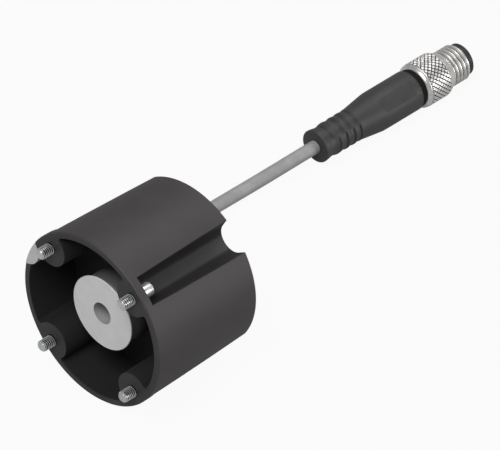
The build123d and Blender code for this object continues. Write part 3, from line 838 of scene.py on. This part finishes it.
def make_screw():
    """A cheese-head screw with a hexagon socket, a waisted shank and a cut thread."""
    body = turn("screw", [
        (SCREW_SHANK - 0.04, -0.4), (SCREW_SHANK, -0.36), (SCREW_SHANK, FLANGE),
        (HEAD_RADIUS - 0.08, FLANGE), (HEAD_RADIUS, FLANGE + 0.08), (HEAD_RADIUS, HEAD_END - 0.15),
        (HEAD_RADIUS - 0.05, HEAD_END - 0.05), (HEAD_RADIUS - 0.15, HEAD_END),
    ], COARSE_SIDES, closed=False)
    clear_selection()
    bpy.ops.mesh.primitive_cylinder_add(
        vertices=6, radius=SOCKET_RADIUS * MM, depth=SOCKET_LENGTH * MM,
        location=(0, (HEAD_END + 0.1) * MM, 0), rotation=(math.pi / 2, 0, 0),
    )
    socket = bpy.context.object
    bpy.ops.object.transform_apply(location=True, rotation=True)
    combine(body, socket, "DIFFERENCE")
    worm = thread("worm", SCREW_RADIUS, SCREW_ROOT, SCREW_PITCH, SCREW_TIP, 0.05, 36)
    outside = SCREW_RADIUS - 0.01
    blank = turn("blank", [
        (0.9, SCREW_TIP + 0.005), (outside, SCREW_TIP + SCREW_POINT), (outside, 0.04),
    ], COARSE_SIDES, closed=False)
    combine(worm, blank, "INTERSECT")
    combine(body, worm, "UNION")
    soften(body, 30)
    return body


def make_screws():
    """Four screws, one in each lobe, each turned a little differently."""
    pattern = make_screw()
    for number in range(1, 5):
        angle = math.radians(45 + 90 * (number - 1))
        screw = copied(pattern, f"fixing_screw_{number}")
        place = (SCREW_REACH * math.cos(angle), 0, SCREW_REACH * math.sin(angle))
        settle(screw, place, SCREW_SWING * number)
        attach(screw, "body")
        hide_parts(f"mounting_screw_{number}")
        dressed(screw, SCREW_STEEL)
    bpy.data.objects.remove(pattern)


# The studio

# The camera's directions, and where it stands along them in mm
RIGHT = Vector((0.70302, 0.71116, -0.00388))
DOWN = Vector((0.42978, -0.42920, -0.79441))
AHEAD = Vector((-0.56662, 0.55681, -0.60738))
CAMERA_PLACE = (30.76, -18.40, -2095)
CAMERA_LENS = 777.6
CAMERA_SENSOR = 36

# Floor, world and lamps, in metres. Each white pair is its share where seen and in reflections.
FLOOR_SIZE = 6
FLOOR_TONE = 0.4
FLOOR_WHITE = (0.94, 0.12)
WORLD_STRENGTH = 0.3
WORLD_WHITE = (1.0, 0.1)
LAMP_DISTANCE = 1.5
LAMP_AIM = Vector((0, 40, -8)) * MM
LAMPS = (
    ("key", -AHEAD - 0.35 * DOWN - 0.25 * RIGHT, 0.7, 15),
    ("side", Vector((0.83, 0.557, 0.12)), 0.7, 8.3),
    ("top", Vector((-0.101, 0.557, 0.824)), 0.8, 4.9),
)


def make_camera():
    """The camera at the photograph's angle and distance."""
    camera = bpy.data.objects.new("camera", bpy.data.cameras.new("camera"))
    camera.data.sensor_width = CAMERA_SENSOR
    camera.data.lens = CAMERA_LENS
    camera.data.clip_start = 0.05
    camera.data.clip_end = 30
    rightwards, downwards, forwards = CAMERA_PLACE
    place = (rightwards * RIGHT + downwards * DOWN + forwards * AHEAD) * MM
    facing = Matrix((RIGHT, -DOWN, -AHEAD)).transposed().to_4x4()
    camera.matrix_world = Matrix.Translation(place) @ facing
    bpy.context.collection.objects.link(camera)
    bpy.context.scene.camera = camera


def white_where_seen(tree, lit, share_seen, share_reflected):
    """A share of white where the camera or glass sees it, a smaller one in reflections, and else as lit."""
    path = tree.nodes.new("ShaderNodeLightPath")

    def mixed_in(operation, first, second):
        step = tree.nodes.new("ShaderNodeMath")
        step.operation = operation
        for socket, value in zip(step.inputs, (first, second)):
            if isinstance(value, float):
                socket.default_value = value
            else:
                tree.links.new(value, socket)
        return step.outputs[0]

    seen = mixed_in("MAXIMUM", path.outputs["Is Camera Ray"], path.outputs["Is Transmission Ray"])
    seen = mixed_in("MULTIPLY", seen, share_seen)
    reflected = mixed_in("MULTIPLY", path.outputs["Is Glossy Ray"], share_reflected)
    share = mixed_in("MAXIMUM", seen, reflected)
    kind = "ShaderNodeBackground" if lit.bl_idname == "ShaderNodeBackground" else "ShaderNodeEmission"
    white = tree.nodes.new(kind)
    white.inputs["Color"].default_value = (1, 1, 1, 1)
    white.inputs["Strength"].default_value = 1.0
    mixed = tree.nodes.new("ShaderNodeMixShader")
    tree.links.new(share, mixed.inputs[0])
    tree.links.new(lit.outputs[0], mixed.inputs[1])
    tree.links.new(white.outputs[0], mixed.inputs[2])
    return mixed


def make_floor():
    """A plain white floor that keeps a faint shadow."""
    clear_selection()
    bpy.ops.mesh.primitive_plane_add(size=FLOOR_SIZE, location=(0, 0, (FLOOR - 0.02) * MM))
    floor = bpy.context.object
    floor.name = "studio_floor"
    material = bpy.data.materials.new("studio_floor")
    material.use_nodes = True
    tree = material.node_tree
    tree.nodes.remove(tree.nodes["Principled BSDF"])
    lit = tree.nodes.new("ShaderNodeBsdfDiffuse")
    lit.inputs["Color"].default_value = (FLOOR_TONE, FLOOR_TONE, FLOOR_TONE, 1)
    mixed = white_where_seen(tree, lit, *FLOOR_WHITE)
    tree.links.new(mixed.outputs[0], tree.nodes["Material Output"].inputs["Surface"])
    floor.data.materials.append(material)


def make_world():
    """Soft even light from all round, white where it is seen."""
    world = bpy.data.worlds.new("studio")
    bpy.context.scene.world = world
    world.use_nodes = True
    tree = world.node_tree
    lit = tree.nodes["Background"]
    lit.inputs["Color"].default_value = (1, 1, 1, 1)
    lit.inputs["Strength"].default_value = WORLD_STRENGTH
    mixed = white_where_seen(tree, lit, *WORLD_WHITE)
    tree.links.new(mixed.outputs[0], tree.nodes["World Output"].inputs["Surface"])


def make_lamp(name, towards, size, power):
    """A square soft box that faces the object's middle."""
    lamp = bpy.data.lights.new(name, "AREA")
    lamp.shape = "SQUARE"
    lamp.size = size
    lamp.energy = power
    direction = towards.normalized()
    holder = bpy.data.objects.new(name, lamp)
    holder.location = LAMP_AIM + direction * LAMP_DISTANCE
    holder.rotation_euler = direction.to_track_quat("Z", "Y").to_euler()
    bpy.context.collection.objects.link(holder)


make_camera()
lead_piece, lead_middle = make_lead()
boot_piece = make_boot()
nut_piece = make_nut()
make_screws()
for node_name, finish_used in CAD_FINISHES.items():
    dressed(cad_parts[node_name], finish_used)

make_floor()
make_world()
for lamp_name, lamp_towards, lamp_size, lamp_power in LAMPS:
    make_lamp(lamp_name, lamp_towards, lamp_size, lamp_power)

bpy.context.scene.view_settings.view_transform = "Standard"
